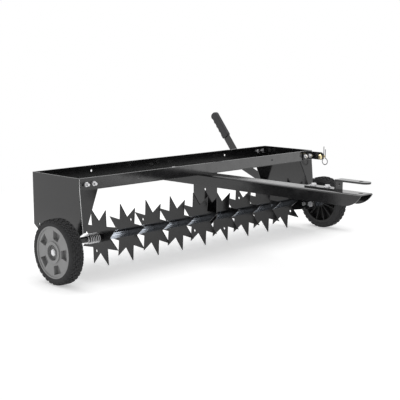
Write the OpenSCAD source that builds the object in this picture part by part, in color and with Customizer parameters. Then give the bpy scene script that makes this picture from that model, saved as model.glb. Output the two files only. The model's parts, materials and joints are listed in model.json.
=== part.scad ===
/* [Tray] */
// Width of the weight tray over the end plates
tray_w = 1016; // [900:1:1100]
// Depth of the tray from front face to back face
tray_d = 217; // [200:1:240]
// Height of the tray's front and back walls
tray_h = 34; // [30:1:45]
// Thickness of the tray's sheet
tray_t = 2; // [1.5:0.5:3]
// Height of the tray's rim above the ground
rim_height = 280; // [275:1:285]
// Height of the hem folded in along the walls' rims
hem_h = 9; // [6:0.5:12]
// Distance of the small spare wall holes from the middle
wall_hole_x = 294; // [200:1:350]
// Radius of the small spare holes in the walls and plates
spare_hole_r = 3.5; // [2:0.5:5]

/* [End plates] */
// Thickness of the end plates
plate_t = 3; // [2:0.5:4]
// Depth below the rim of the end plates' lower corners
plate_corner_h = 150; // [145:1:155]
// How far the lower front corner stands forward of the tray
plate_lean = 11; // [5:1:14]
// Width of the plates' inward flanges at the tray
flange_w = 61; // [58:1:70]
// Width of the flanges at their lower end
flange_foot_w = 8; // [6:1:20]
// Radius of the plates' lobe round the star shaft
lobe_r = 24; // [20:0.5:26]

/* [Star shaft] */
// Radius of the star shaft
shaft_r = 9.5; // [8:0.5:10]
// Distance of the shaft behind the tray's front face
shaft_y = 105; // [100:1:112]
// Depth of the shaft below the rim
shaft_depth = 197; // [195:0.5:198]
// Outer radius of the bushes' sleeves in the end plates
bush_r = 12.5; // [12:0.5:14]
// Radius of the bushes' flanges
bush_flange_r = 17; // [16:0.5:20]
// Thickness of the bushes' flanges, which keeps the cranks off the plates
bush_flange_t = 2.7; // [2:0.1:3]
// Length of the bushes' sleeves
bush_len = 8; // [5:0.5:10]

/* [Stars] */
// Number of star wheels
star_count = 9; // [9]
// Distance of the first star from the left end plate's outer face
first_star_in = 152.8; // [140:0.1:160]
// Distance of the last star from the right end plate's outer face
last_star_in = 36.8; // [34:0.1:44]
// Radius of a star over its points
star_r = 87.6; // [80:0.1:87.6]
// Radius of a star at the notches between its points
star_notch_r = 46.4; // [40:0.1:55]
// Thickness of a star
star_t = 3; // [2:0.5:5]
// Turn of the standing points from straight down
star_phase = 18.8; // [18:0.1:26]
// Radius of the small hole in each star
star_hole_r = 4; // [2:0.5:5]
// Distance of that hole from the shaft
star_hole_at = 46; // [40:1:55]
// Outer radius of the spacer tubes between the stars
spacer_r = 12.5; // [12:0.5:16]

/* [Spring] */
// Radius of the spring's wire
wire_r = 1.3; // [1:0.1:1.8]
// Outer radius of the spring
spring_r = 15; // [13:0.1:16]
// Length of the spring
spring_len = 48; // [40:1:60]
// Number of turns in the spring
spring_turns = 6; // [4:0.5:8]
// Thickness of the washer behind the spring
stop_washer_t = 2; // [1:0.5:4]
// Radius of the cotter pin behind the washer
cotter_r = 1.5; // [1.2:0.1:2]

/* [Hanger] */
// Distance of the shaft hanger from the star on its left
hanger_from_star = 28; // [24:0.5:34]
// Width of the hanger along the machine
hanger_w = 105; // [80:1:130]
// Depth of the hanger's lower edge below the shaft
hanger_below = 18; // [15:1:25]
// Thickness of the hanger's plate
hanger_t = 3; // [2:0.5:5]
// Width of the hanger's top flange
hanger_flange_w = 28; // [22:1:40]

/* [Tongue] */
// Width of the tongue's channel
tongue_w = 56; // [50:1:64]
// Height of the channel
tongue_h = 35; // [30:1:40]
// Thickness of the channel's wall
tongue_t = 3; // [2:0.5:4]
// Outer bend radius of the channel
tongue_bend = 6; // [4:0.5:8]
// How far the tongue reaches forward of the tray
tongue_reach = 580; // [520:1:640]
// Radius of the arc under the tongue's front end
tongue_nose_r = 66; // [50:1:80]

/* [Hitch] */
// Width of the hitch strap
strap_w = 32; // [26:1:40]
// Thickness of the strap
strap_t = 5; // [4:0.5:6]
// Clear height between the tongue and the strap's upper arm
hitch_gap = 27; // [20:1:35]
// Radius of the hitch pin's holes
hitch_r = 6.5; // [5:0.5:8]
// Distance of the hitch holes from the tongue's front edge
hitch_inset = 19; // [15:1:25]
// Distance of the strap's riser from the tongue's front edge
riser_inset = 95; // [80:1:110]
// How far the strap reaches past the tongue's front edge
strap_over = 10; // [5:1:14]
// Length of the strap's foot behind the riser
foot_len = 103; // [90:1:120]
// Distance of the first strap bolt behind the riser
strap_bolt_at = 35; // [30:1:40]
// Distance between the two strap bolts
strap_bolt_gap = 47.5; // [40:0.5:55]

/* [Cranks and wheels] */
// Distance of the wheel spindles behind the tray's front face
wheel_y = 3; // [0:1:6]
// Radius of the wheels over the tread
tyre_r = 90; // [85:0.5:90]
// Width of the wheels
tyre_w = 43; // [38:1:50]
// Radius at which the tyre sits on the hub
rim_r = 72; // [68:1:74]
// Distance of the wheels' inner faces from the end plates
wheel_gap = 51; // [48:1:60]
// Thickness of the cranks
crank_t = 5; // [4:0.5:6]
// Radius of a crank's round end at the shaft
crank_hub_r = 27; // [24:0.5:28]
// Radius of a crank's round end at the spindle
crank_end_r = 16.5; // [14:0.5:18]
// Distance of the crank's bolt from the shaft
crank_bolt_at = 71; // [66:1:75]
// Radius of the wheel spindles
spindle_r = 6.3; // [5:0.1:8]
// Radius of the hub's recess for the spindle nut
nut_recess_r = 21.5; // [18:0.5:23]

/* [Lever] */
// Width of the lever's bar
lever_w = 30; // [26:1:34]
// Thickness of the lever's bar
lever_t = 5; // [4:0.5:6]
// Rise of the lever's lower part from level
lever_rise = 22.3; // [18:0.1:26]
// Distance of the lever's lower part from the shaft's axis
lever_offset = 17.7; // [14:0.1:20]
// Length of the lower part up to the bend
lever_len = 254; // [245:1:280]
// Rise of the lever's upper part from level
grip_rise = 51; // [45:1:60]
// Distance from the bend to the grip
grip_start = 131.5; // [110:1:150]
// Length of the grip
grip_len = 110; // [100:1:130]
// Width of the grip
grip_w = 31; // [30:1:36]
// Thickness of the grip
grip_t = 16; // [14:1:20]
// Width of the bar's tang inside the grip
tang_w = 18; // [14:1:20]
// Number of finger grooves
groove_count = 4; // [3:1:5]

/* [Latch] */
// Distance of the latch pin forward of the tray
latch_y = 38; // [30:1:45]
// Depth of the latch pin below the rim
latch_depth = 20; // [18:1:22]
// Radius of the latch pin
latch_r = 4.75; // [4:0.25:5.5]
// How far the pin reaches outside the bracket
latch_reach = 20; // [20:1:24]
// Thickness of the latch bracket
latch_t = 3; // [2:0.5:4]
// Length of the bracket's leg on the tray wall
latch_leg = 53; // [52:1:60]
// Height of the bracket
latch_h = 26; // [24:1:28]
// Radius of the clip's wire
clip_wire_r = 1.5; // [1.2:0.1:1.6]
// Distance of the clip from the pin's tip
clip_inset = 4; // [3.5:0.5:4]

/* [Fasteners] */
// Radius of the frame's bolts
bolt_r = 4; // [3:0.5:5]
// Distance from the end plates to the outer corner bolts
corner_bolt_in = 21; // [18:1:24]
// Distance between the two bolts of a corner
corner_bolt_gap = 26; // [24:1:30]
// Depth of the corner bolts below the rim
corner_bolt_depth = 17; // [15:1:19]

/* [Hidden] */
// Gap of a piece that turns freely beside its neighbour
side_gap = 0.3;
// Radial clearance of a turning fit
run_fit = 0.05;
// Radial clearance of a bolt in its hole
hole_fit = 0.25;
fine = 96;
round_fn = 48;
// How far a frame bolt's thread stands out past what it clamps
thread_over = 12;

half_w = tray_w / 2;
plate_in = half_w - plate_t;
rear_in_y = tray_d - tray_t;
shaft_c = [shaft_y, -shaft_depth];
wheel_c = [wheel_y, tyre_r - rim_height];
floor_top = -tray_h + tray_t;
hem_half = plate_in - flange_w - 1;
tongue_top = -tray_h;
tongue_front = -tongue_reach;
tongue_low = tongue_top - tongue_h;
// The nose's arc starts below a short upright front edge and runs out a hair under the channel
nose_flat = 4;
nose_rise = tongue_nose_r - 0.5;
nose_c = [tongue_front + sqrt(pow(tongue_nose_r, 2) - pow(nose_rise - tongue_h + nose_flat, 2)),
    tongue_low + nose_rise];

// Nut and head sizes follow the bolt's radius
function hex_r(r) = 1.85 * r;
function head_t(r) = 1.3 * r;
function nut_t(r) = 1.6 * r;
washer_t = 1.6;
function washer_r(r) = 2.5 * r;

// Cranks and lever, outward from the end plates
crank_in = half_w + bush_flange_t + side_gap;
crank_out = crank_in + crank_t;
lever_in = crank_out;
lever_out = lever_in + lever_t;
arm_len = norm(wheel_c - shaft_c);
arm_angle = atan2(wheel_c[1] - shaft_c[1], wheel_c[0] - shaft_c[0]);

function unit(a) = [cos(a), sin(a)];
function turned(p, a) = [p[0] * cos(a) - p[1] * sin(a), p[0] * sin(a) + p[1] * cos(a)];

lever_foot = shaft_c + lever_offset * unit(lever_rise + 90);
lever_bend = lever_foot + lever_len * unit(lever_rise);
grip_from = lever_bend + grip_start * unit(grip_rise);
grip_end_r = 12;
grip_rear = grip_from[0] + (grip_len - grip_end_r) * cos(grip_rise)
    + (grip_w / 2 - grip_end_r) * sin(grip_rise) + grip_end_r;

latch_c = [-latch_y, -latch_depth];
latch_dist = norm(latch_c - shaft_c);
// With the wheels down the lever stands just in front of the latch pin
latch_clear = lever_w / 2 + latch_r + side_gap;
lever_travel = atan2(latch_c[1] - shaft_c[1], latch_c[0] - shaft_c[0]) - lever_rise
    - asin((lever_offset - latch_clear) / latch_dist);
echo(lever_travel_degrees = lever_travel);

// The origin is under the middle of the machine's length, on the ground
hitch_front = tongue_front - strap_over;
length_mid = (hitch_front + grip_rear) / 2;
echo(length_mid = length_mid, overall_length = grip_rear - hitch_front);
hitch_y = tongue_front + hitch_inset;
riser_y = tongue_front + riser_inset;
arm_z = tongue_top + hitch_gap;
strap_bolts = [riser_y + strap_bolt_at, riser_y + strap_bolt_at + strap_bolt_gap];

// Stars
star_pitch = (tray_w - first_star_in - last_star_in) / (star_count - 1);
function star_x(n) = -half_w + first_star_in + (n - 1) * star_pitch;
points_per_star = 8;
star_step = 360 / points_per_star;
// The first star was set down turned the other way from the rest
function star_turn(n) = n == 1 ? -star_phase : star_phase;
// Which point of each star has the small hole behind it
hole_tips = [4, 7, 1, 2, 3, 4, 0, 6, 5];
function tip_angle(n, k) = 90 - star_turn(n) - k * star_step;

// Fastener places
corner_x = [half_w - corner_bolt_in, half_w - corner_bolt_in - corner_bolt_gap];
square_hole = 6;
square_hole_x = half_w - 11;
tongue_bolt_y = [50, tray_d - 57];
hanger_x = star_x(5) + hanger_from_star;
hanger_mid_y = shaft_y + 2;
hanger_bolt_y = [hanger_mid_y - 31, hanger_mid_y + 31];
hanger_bolt_x = hanger_x + hanger_flange_w / 2 + hanger_t;
hanger_y0 = hanger_mid_y - hanger_w / 2;

// Stop bolt above each crank, a hair off the crank's upper edge
stop_r = hex_r(bolt_r) * cos(30);
stop_along = 62;
stop_half = crank_hub_r + (crank_end_r - crank_hub_r) * stop_along / arm_len;
stop_c = shaft_c + stop_along * unit(arm_angle) + (stop_half + stop_r + 0.8) * unit(arm_angle - 90);
bolt_c = shaft_c + crank_bolt_at * unit(arm_angle);

// Spring path, a wound wire whose two ends run straight along the shaft
spring_mean = spring_r - wire_r;
spring_x1 = star_x(1) - star_t / 2 - side_gap;
spring_x0 = spring_x1 - spring_len;
curl_rings = 8;
wire_sides = 6;
end_run = 2 * wire_r;
end_bend = 1.8 * wire_r;
spring_rise = (spring_len - 2 * (end_run + end_bend)) / spring_turns;
winds = curl_rings * spring_turns;
bend_angle = end_bend / spring_mean * 180 / PI;
rise_angle = atan2(spring_rise, 2 * PI * spring_mean);
// One ring is [place along the shaft, turn round it, lean of the wire from the shaft]
head_rings = [[0, -bend_angle, 0], [end_run, -bend_angle, 0],
    [end_run + end_bend * sin(45), -bend_angle * cos(45), 45]];
wind_rings = [for (i = [0:winds])
    [end_run + end_bend + spring_rise * i / curl_rings, 360 * i / curl_rings, 90 - rise_angle]];
last_turn = 360 * spring_turns;
tail_rings = [[spring_len - end_run - end_bend * sin(45), last_turn + bend_angle * cos(45), 45],
    [spring_len - end_run, last_turn + bend_angle, 0], [spring_len, last_turn + bend_angle, 0]];
rings = concat(head_rings, wind_rings, tail_rings);
function ring_mid(r) = [spring_x0 + r[0], spring_mean * cos(r[1]), spring_mean * sin(r[1])];
function ring_point(r, k) =
    let (a = 360 * k / wire_sides, u = wire_r * cos(a), v = wire_r * sin(a))
    ring_mid(r) + [-v * sin(r[2]), u * cos(r[1]) - v * cos(r[2]) * sin(r[1]),
        u * sin(r[1]) + v * cos(r[2]) * cos(r[1])];
mids = [for (r = rings) ring_mid(r)];
far = curl_rings / 2;
gaps = [for (i = [0:len(mids) - far - 1]) for (j = [i + far:len(mids) - 1]) norm(mids[i] - mids[j])];
echo(spring_least_gap = min(gaps) - 2 * wire_r);

// Frame helpers: everything is drawn from the tray's front rim and then set on the ground
module placed() translate([0, -length_mid, rim_height]) children();

// A flat outline in the side view, given as [y, z], raised along X
module side_plate(x, t) translate([x, 0, 0]) rotate([90, 0, 90]) linear_extrude(t) children();

// A round bar along X round the point c of the side view
module x_rod(c, r, x0, x1, fn = fine)
    translate([x0, c[0], c[1]]) rotate([0, 90, 0]) cylinder(r = r, h = x1 - x0, $fn = fn);

// A round bar along Y
module y_rod(x, z, r, y0, y1, fn = round_fn)
    translate([x, y0, z]) rotate([-90, 0, 0]) cylinder(r = r, h = y1 - y0, $fn = fn);

// A round bar along Z
module z_rod(x, y, r, z0, z1, fn = round_fn)
    translate([x, y, z0]) cylinder(r = r, h = z1 - z0, $fn = fn);

module mirrored_pair() {
    children();
    mirror([1, 0, 0]) children();
}

// A bar from x outward with two round ends, whose straight flanks run a hair inside the tangents
module link(x, t, p, q, rp, rq) {
    a = atan2(q[1] - p[1], q[0] - p[0]);
    b = acos((rp - rq) / norm(q - p));
    sp = rp - 0.1;
    sq = rq - 0.1;
    x_rod(p, rp, x, x + t);
    x_rod(q, rq, x, x + t);
    side_plate(x, t)
        polygon([p + sp * unit(a + b), q + sq * unit(a + b), q + sq * unit(a - b), p + sp * unit(a - b)]);
}

module tray_floor() color([0.06, 0.06, 0.06]) difference() {
    translate([-plate_in, 0, -tray_h]) cube([2 * plate_in, tray_d, tray_t]);
    for (side = [-1, 1]) for (y = [tray_t, rear_in_y - plate_t - side_gap])
        translate([side > 0 ? plate_in - flange_w - side_gap : -plate_in - 1, y, -tray_h - 1])
            cube([flange_w + side_gap + 1, plate_t + side_gap, tray_t + 2]);
    for (y = tongue_bolt_y) z_rod(0, y, bolt_r + hole_fit, -tray_h - 1, 0);
    for (y = hanger_bolt_y) z_rod(hanger_bolt_x, y, bolt_r + hole_fit, -tray_h - 1, 0);
}

// A wall from y0 whose rim is folded in over the hem that starts at hem_y
module tray_wall(y0, hem_y) color([0.06, 0.06, 0.06]) difference() {
    union() {
        translate([-plate_in, y0, floor_top]) cube([2 * plate_in, tray_t, -floor_top]);
        translate([-hem_half, hem_y, -hem_h]) cube([2 * hem_half, tray_t + 1, hem_h]);
    }
    for (side = [-1, 1]) for (x = corner_x)
        y_rod(side * x, -corner_bolt_depth, bolt_r + hole_fit, y0 - 1, y0 + tray_t + 1);
    for (side = [-1, 1]) y_rod(side * wall_hole_x, -tray_h / 2, spare_hole_r, y0 - 1, y0 + tray_t + 1);
    for (side = [-1, 1]) square_cut(side);
}

// The small square hole beside the front corner nuts
module square_cut(side)
    translate([side * square_hole_x - square_hole / 2, -1, -corner_bolt_depth - square_hole / 2])
        cube([square_hole, tray_t + plate_t + 2, square_hole]);

// Where the straight lower edge from the corner p ends, a hair inside the lobe
function touch(p, side) =
    let (v = shaft_c - p, d = norm(v), r = lobe_r - 0.3, a = atan2(v[1], v[0]) + side * asin(r / d))
    p + sqrt(d * d - r * r) * unit(a);

module end_plate() color([0.06, 0.06, 0.06]) {
    front = [-plate_lean, -plate_corner_h];
    rear = [tray_d, -plate_corner_h];
    lower = plate_corner_h - tray_h;
    difference() {
        union() {
            side_plate(plate_in, plate_t) {
                polygon([[0, 0], [tray_d, 0], rear, touch(rear, 1), shaft_c, touch(front, -1), front,
                    [0, -tray_h]]);
                translate(shaft_c) circle(r = lobe_r, $fn = fine);
            }
            for (y = [tray_t, rear_in_y - plate_t])
                translate([plate_in - flange_w, y, -tray_h - 1]) cube([flange_w + 1, plate_t, tray_h + 1]);
            translate([0, 0, -tray_h]) rotate([-atan(plate_lean / lower), 0, 0]) flange();
            translate([0, tray_d - plate_t - 2 * flange_inset, -tray_h]) flange();
        }
        x_rod(shaft_c, bush_r + run_fit, plate_in - 1, half_w + 1);
        x_rod(stop_c, bolt_r + hole_fit, plate_in - 1, half_w + 1, round_fn);
        x_rod([tray_d - 27, -plate_corner_h + 1], spare_hole_r, plate_in - 1, half_w + 1, round_fn);
        for (x = corner_x) y_rod(x, -corner_bolt_depth, bolt_r + hole_fit, -1, tray_d + 1);
        square_cut(1);
    }
}

// The tapered flange below the tray, down from z = 0, whose front face lies a hair behind y = 0
flange_inset = 0.2;
module flange() {
    drop = plate_corner_h - tray_h;
    translate([0, plate_t + flange_inset, 0]) rotate([90, 0, 0]) linear_extrude(plate_t)
        polygon([[plate_in + 1, 0], [plate_in - flange_w, 0], [plate_in - flange_foot_w, -drop],
            [plate_in + 1, -drop]]);
}

module tongue() color([0.06, 0.06, 0.06]) difference() {
    intersection() {
        translate([0, tongue_front - 1, 0]) rotate([90, 0, 180])
            linear_extrude(tongue_reach + tray_d) channel_2d();
        side_plate(-tongue_w, 2 * tongue_w) {
            translate([nose_c[0], tongue_low]) square([rear_in_y - nose_c[0], tongue_h]);
            intersection() {
                translate(nose_c) circle(r = tongue_nose_r, $fn = 2 * fine);
                translate([tongue_front, tongue_low]) square([nose_c[0] - tongue_front + 1, tongue_h]);
            }
        }
    }
    z_rod(0, hitch_y, hitch_r, tongue_top - tongue_t - 1, tongue_top + 1);
    for (y = concat(tongue_bolt_y, strap_bolts))
        z_rod(0, y, bolt_r + hole_fit, tongue_top - tongue_t - 1, tongue_top + 1);
}

// The channel's section, open below, with rounded bends
module channel_2d() {
    module arch(w, h, r) {
        translate([-w / 2, -h]) square([w, h - r]);
        translate([-w / 2 + r, -r - 1]) square([w - 2 * r, r + 1]);
        for (side = [-1, 1]) translate([side * (w / 2 - r), -r]) circle(r = r, $fn = round_fn);
    }
    translate([0, tongue_top]) difference() {
        arch(tongue_w, tongue_h + 1, tongue_bend);
        translate([0, -tongue_t]) arch(tongue_w - 2 * tongue_t, tongue_h, tongue_bend - tongue_t);
    }
}

module hitch_strap() color([0.08, 0.08, 0.08]) difference() {
    union() {
        translate([-strap_w / 2, riser_y, tongue_top]) cube([strap_w, foot_len, strap_t]);
        translate([-strap_w / 2, riser_y - strap_t, tongue_top])
            cube([strap_w, strap_t + 0.01, hitch_gap + strap_t]);
        translate([-strap_w / 2, hitch_front + strap_w / 2, arm_z])
            cube([strap_w, riser_y - hitch_front - strap_w / 2, strap_t]);
        z_rod(0, hitch_front + strap_w / 2, strap_w / 2, arm_z, arm_z + strap_t, fine);
    }
    z_rod(0, hitch_y, hitch_r, arm_z - 1, arm_z + strap_t + 1);
    for (y = strap_bolts) z_rod(0, y, bolt_r + hole_fit, tongue_top - 1, tongue_top + strap_t + 1);
    y_rod(0, tongue_top + hitch_gap / 2 + strap_t / 2, spare_hole_r, riser_y - strap_t - 1, riser_y + 1);
}

// A hex bolt that stands on z = 0 with its head above and its shank below
module bolt(r, len) {
    cylinder(r = hex_r(r), h = head_t(r), $fn = 6);
    translate([0, 0, -len]) cylinder(r = r, h = len + 1, $fn = round_fn);
}

module nut(r) difference() {
    cylinder(r = hex_r(r), h = nut_t(r), $fn = 6);
    translate([0, 0, -1]) cylinder(r = r + run_fit, h = nut_t(r) + 2, $fn = round_fn);
}

module washer(r) difference() {
    cylinder(r = washer_r(r), h = washer_t, $fn = round_fn);
    translate([0, 0, -1]) cylinder(r = r + hole_fit, h = washer_t + 2, $fn = round_fn);
}

strap_clamp = strap_t + tongue_t;
module hitch_bolts() color([0.7, 0.7, 0.72]) for (y = strap_bolts)
    translate([0, y, tongue_top + strap_t + washer_t]) bolt(bolt_r, strap_clamp + washer_t + thread_over);

module hitch_washers() color([0.7, 0.7, 0.72]) for (y = strap_bolts)
    translate([0, y, tongue_top + strap_t]) washer(bolt_r);

module hitch_nuts() color([0.7, 0.7, 0.72]) for (y = strap_bolts)
    translate([0, y, tongue_top - tongue_t - nut_t(bolt_r)]) nut(bolt_r);

module tongue_bolts() color([0.7, 0.7, 0.72]) for (y = tongue_bolt_y)
    translate([0, y, floor_top]) bolt(bolt_r, tray_t + tongue_t + thread_over);

module tongue_nuts() color([0.7, 0.7, 0.72]) for (y = tongue_bolt_y)
    translate([0, y, tongue_top - tongue_t - nut_t(bolt_r)]) nut(bolt_r);

module shaft_hanger() color([0.05, 0.05, 0.05]) difference() {
    low = -shaft_depth - hanger_below;
    cut = hanger_below + 6;
    union() {
        side_plate(hanger_x, hanger_t) polygon([[hanger_y0, -tray_h], [hanger_y0 + hanger_w, -tray_h],
            [hanger_y0 + hanger_w, low + cut], [hanger_y0 + hanger_w - cut, low],
            [hanger_y0 + cut, low], [hanger_y0, low + cut]]);
        translate([hanger_x, hanger_y0, -tray_h - hanger_t]) cube([hanger_flange_w, hanger_w, hanger_t]);
    }
    x_rod(shaft_c, shaft_r + run_fit, hanger_x - 1, hanger_x + hanger_t + 1);
    x_rod([hanger_mid_y, -shaft_depth + 94], bolt_r, hanger_x - 1, hanger_x + hanger_t + 1, round_fn);
    for (y = hanger_bolt_y)
        z_rod(hanger_bolt_x, y, bolt_r + hole_fit, -tray_h - hanger_t - 1, -tray_h + 1);
}

module hanger_bolts() color([0.7, 0.7, 0.72]) for (y = hanger_bolt_y)
    translate([hanger_bolt_x, y, floor_top]) bolt(bolt_r, tray_t + hanger_t + thread_over);

module hanger_nuts() color([0.7, 0.7, 0.72]) for (y = hanger_bolt_y)
    translate([hanger_bolt_x, y, -tray_h - hanger_t - nut_t(bolt_r)]) nut(bolt_r);

// The wall that a corner bolt clamps is thicker under the latch bracket
function front_face(side) = side > 0 ? -latch_t : 0;

module corner_bolts() color([0.7, 0.7, 0.72]) for (side = [-1, 1]) for (x = corner_x) {
    translate([side * x, tray_t + plate_t, -corner_bolt_depth]) rotate([-90, 0, 0])
        bolt(bolt_r, tray_t + plate_t + latch_t + thread_over);
    translate([side * x, rear_in_y - plate_t, -corner_bolt_depth]) rotate([90, 0, 0])
        bolt(bolt_r, tray_t + plate_t + thread_over);
}

module corner_nuts() color([0.7, 0.7, 0.72]) for (side = [-1, 1]) for (x = corner_x) {
    translate([side * x, front_face(side), -corner_bolt_depth]) rotate([90, 0, 0]) nut(bolt_r);
    translate([side * x, tray_d, -corner_bolt_depth]) rotate([-90, 0, 0]) nut(bolt_r);
}

module shaft_bushes() color([0.75, 0.75, 0.7]) mirrored_pair() difference() {
    union() {
        x_rod(shaft_c, bush_r, half_w + bush_flange_t - bush_len, half_w + 1);
        x_rod(shaft_c, bush_flange_r, half_w, half_w + bush_flange_t);
    }
    x_rod(shaft_c, shaft_r + run_fit, half_w - bush_len, half_w + bush_flange_t + 1);
}

// The stop bolt's head stands in the crank's plane
stop_head = bush_flange_t + side_gap + crank_t - 0.5;
module stop_bolts() color([0.7, 0.7, 0.72]) mirrored_pair() {
    x_rod(stop_c, stop_r, half_w, half_w + stop_head, round_fn);
    x_rod(stop_c, bolt_r, plate_in - nut_t(bolt_r) - 2, half_w + 1, round_fn);
}

module stop_nuts() color([0.7, 0.7, 0.72]) mirrored_pair()
    translate([plate_in - nut_t(bolt_r), stop_c[0], stop_c[1]]) rotate([0, 90, 0]) nut(bolt_r);

latch_top = -4;
module latch_bracket() color([0.06, 0.06, 0.06]) difference() {
    union() {
        translate([half_w - latch_leg, -latch_t, latch_top - latch_h]) cube([latch_leg, latch_t, latch_h]);
        side_plate(half_w - latch_t, latch_t) {
            translate([-latch_y, latch_top - latch_h]) square([latch_y, latch_h]);
            translate([-latch_y, latch_top - latch_h / 2]) circle(r = latch_h / 2, $fn = fine);
        }
    }
    x_rod(latch_c, latch_r + run_fit, half_w - latch_t - 1, half_w + 1, round_fn);
    for (x = corner_x) y_rod(x, -corner_bolt_depth, bolt_r + hole_fit, -latch_t - 1, 1);
}

clip_x = half_w + latch_reach - clip_inset;
clip_off = latch_r + clip_wire_r + side_gap;
module latch_pin() color([0.85, 0.75, 0.35]) difference() {
    head_r = 9;
    union() {
        x_rod(latch_c, latch_r, half_w - latch_t - 1, half_w + latch_reach, round_fn);
        intersection() {
            x_rod(latch_c, head_r, half_w - latch_t - side_gap - 6, half_w - latch_t - side_gap);
            translate([half_w - latch_t + 4, latch_c[0], latch_c[1]]) sphere(r = 11, $fn = fine);
        }
    }
    z_rod(clip_x, latch_c[0], clip_wire_r + run_fit, latch_c[1] - 10, latch_c[1] + 10);
}

// A wire with one leg through the pin, one beside it and a ring below
module latch_clip() color([0.75, 0.75, 0.78]) {
    ring_r = 11;
    ring_c = latch_c - [5, 17];
    leg_top = latch_c[1] + 34;
    for (leg = [[latch_c[0], leg_top], [latch_c[0] - clip_off, leg_top - 9]]) {
        on_ring = ring_c[1] + sqrt(pow(ring_r, 2) - pow(leg[0] - ring_c[0], 2));
        z_rod(clip_x, leg[0], clip_wire_r, on_ring, leg[1]);
    }
    translate([clip_x, ring_c[0], ring_c[1]]) rotate([0, 90, 0])
        rotate_extrude($fn = round_fn) translate([ring_r, 0]) circle(r = clip_wire_r, $fn = round_fn);
}

cotter_x = spring_x0 - stop_washer_t - cotter_r;
module star_shaft() color([0.07, 0.07, 0.07]) difference() {
    x_rod(shaft_c, shaft_r, -crank_out, lever_out);
    y_rod(cotter_x, -shaft_depth, cotter_r + run_fit, shaft_y - 20, shaft_y + 20);
}

module crank(out) color([0.06, 0.06, 0.06]) difference() {
    union() link(crank_in, crank_t, shaft_c, wheel_c, crank_hub_r, crank_end_r);
    x_rod(shaft_c, shaft_r + run_fit, crank_in - 1, crank_out + 1);
    x_rod(wheel_c, spindle_r + run_fit, crank_in - 1, crank_out + 1);
    x_rod(bolt_c, bolt_r + hole_fit, crank_in - 1, crank_out + 1, round_fn);
}

module crank_bolts() color([0.7, 0.7, 0.72]) mirrored_pair()
    translate([crank_in, bolt_c[0], bolt_c[1]]) rotate([0, -90, 0]) bolt(bolt_r, crank_t + thread_over);

module crank_nuts() color([0.7, 0.7, 0.72]) mirrored_pair()
    translate([crank_out, bolt_c[0], bolt_c[1]]) rotate([0, 90, 0]) nut(bolt_r);

module tube(x0, x1) color([0.6, 0.65, 0.72]) difference() {
    x_rod(shaft_c, spacer_r, x0 + side_gap, x1 - side_gap);
    x_rod(shaft_c, shaft_r + run_fit, x0 - 1, x1 + 1);
}

// Spacers one to four and seven to nine fill star gaps, five and six stand each side of the hanger
module spacer(n) {
    left = n < 6 ? n : n - 1;
    x0 = n == 6 ? hanger_x + hanger_t : star_x(left) + star_t / 2;
    x1 = n == 5 ? hanger_x : star_x(left + 1) - star_t / 2;
    tube(x0, x1);
}

module stack_spring() color([0.75, 0.75, 0.78]) translate([0, shaft_c[0], shaft_c[1]]) {
    n = len(rings);
    points = [for (r = rings) for (k = [0:wire_sides - 1]) ring_point(r, k)];
    sides = [for (i = [0:n - 2]) for (k = [0:wire_sides - 1])
        let (a = i * wire_sides + k, b = i * wire_sides + (k + 1) % wire_sides)
        each [[a, b, b + wire_sides], [a, b + wire_sides, a + wire_sides]]];
    ends = [for (k = [1:wire_sides - 2])
        each [[0, k + 1, k], [(n - 1) * wire_sides, (n - 1) * wire_sides + k, (n - 1) * wire_sides + k + 1]]];
    polyhedron(points, concat(sides, ends));
}

module spring_washer() color([0.75, 0.75, 0.78]) difference() {
    x_rod(shaft_c, spacer_r + 1, spring_x0 - stop_washer_t, spring_x0);
    x_rod(shaft_c, shaft_r + run_fit, spring_x0 - stop_washer_t - 1, spring_x0 + 1);
}

module spring_cotter() color([0.75, 0.75, 0.78]) {
    eye_r = 3;
    reach = shaft_r + 3;
    y_rod(cotter_x, -shaft_depth, cotter_r, shaft_y - reach, shaft_y + reach);
    translate([cotter_x, shaft_y - reach - eye_r, -shaft_depth]) rotate([0, 90, 0])
        rotate_extrude($fn = round_fn) translate([eye_r, 0]) circle(r = cotter_r, $fn = round_fn);
}

module lever_shape() union() {
    knee = lever_foot + crank_hub_r * unit(lever_rise);
    link(lever_in, lever_t, shaft_c, knee, crank_hub_r - 4, lever_w / 2);
    link(lever_in, lever_t, knee, lever_bend, lever_w / 2, lever_w / 2);
    side_plate(lever_in, lever_t) translate(lever_bend) rotate(grip_rise)
        translate([0, 0.1 - lever_w / 2]) square([grip_start, lever_w - 0.2]);
    side_plate(lever_in, lever_t) translate(lever_bend) rotate(grip_rise)
        translate([1, -tang_w / 2]) square([grip_start + grip_len * 0.8, tang_w]);
}

module lever_bar() color([0.06, 0.06, 0.06]) difference() {
    lever_shape();
    x_rod(shaft_c, shaft_r + run_fit, lever_in - 1, lever_out + 1);
}

module grip_2d() translate(grip_from) rotate(grip_rise) difference() {
    groove_r = 16;
    groove_step = (grip_len - 30) / groove_count;
    start_r = 5;
    union() {
        translate([start_r, -grip_w / 2]) square([grip_len - start_r - grip_end_r, grip_w]);
        translate([0, start_r - grip_w / 2]) square([start_r + 1, grip_w - 2 * start_r]);
        translate([grip_len - grip_end_r - 1, grip_end_r - grip_w / 2])
            square([grip_end_r + 1, grip_w - 2 * grip_end_r]);
        for (y = [-1, 1]) {
            translate([start_r, y * (grip_w / 2 - start_r)]) circle(r = start_r, $fn = round_fn);
            translate([grip_len - grip_end_r, y * (grip_w / 2 - grip_end_r)])
                circle(r = grip_end_r, $fn = round_fn);
        }
    }
    for (i = [0:groove_count - 1])
        translate([16 + groove_step * (i + 0.5), -grip_w / 2 - groove_r + 2.5])
            circle(r = groove_r, $fn = round_fn);
}

module lever_grip() color([0.1, 0.1, 0.1]) difference() {
    side_plate(lever_in + lever_t / 2 - grip_t / 2, grip_t) grip_2d();
    lever_shape();
}

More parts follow.
